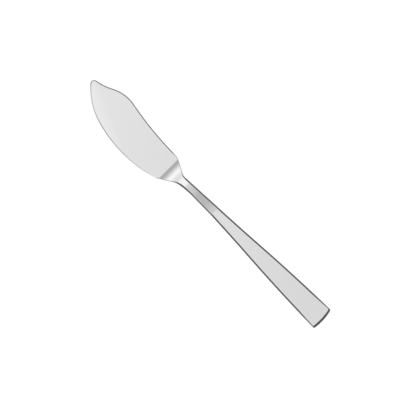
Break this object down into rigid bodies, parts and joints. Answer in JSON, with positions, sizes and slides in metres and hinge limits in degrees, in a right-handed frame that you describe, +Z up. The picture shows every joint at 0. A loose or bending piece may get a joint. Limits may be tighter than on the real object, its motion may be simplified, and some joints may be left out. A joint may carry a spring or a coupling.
{
  "type": "fish knife",
  "caption": "Table fish knife: broad blunt blade with an ogee spine and pointed tip, stepped bolster, slim neck and a flat hollow handle flaring to a square butt.",
  "frame": {"origin": "under the middle of the knife's outline, on the table plane that the bolster's crest and the butt touch", "axes": "+X along the knife towards the tip, +Y towards the belly of the blade, +Z up, square to the blade's faces"},
  "size_m": [0.2046, 0.0268, 0.0062],
  "materials": {
    "blade_steel": "mirror polished",
    "handle_steel": "mirror polished",
    "braze": "polished flush",
    "solder": "polished flush",
    "cement": "matt"
  },
  "bodies": {
    "root": {"blade": "blade_steel", "handle_top_shell": "handle_steel", "handle_bottom_shell": "handle_steel", "shell_seam_braze": "braze", "mouth_solder": "solder", "tang_cement": "cement"}
  },
  "joints": []
}
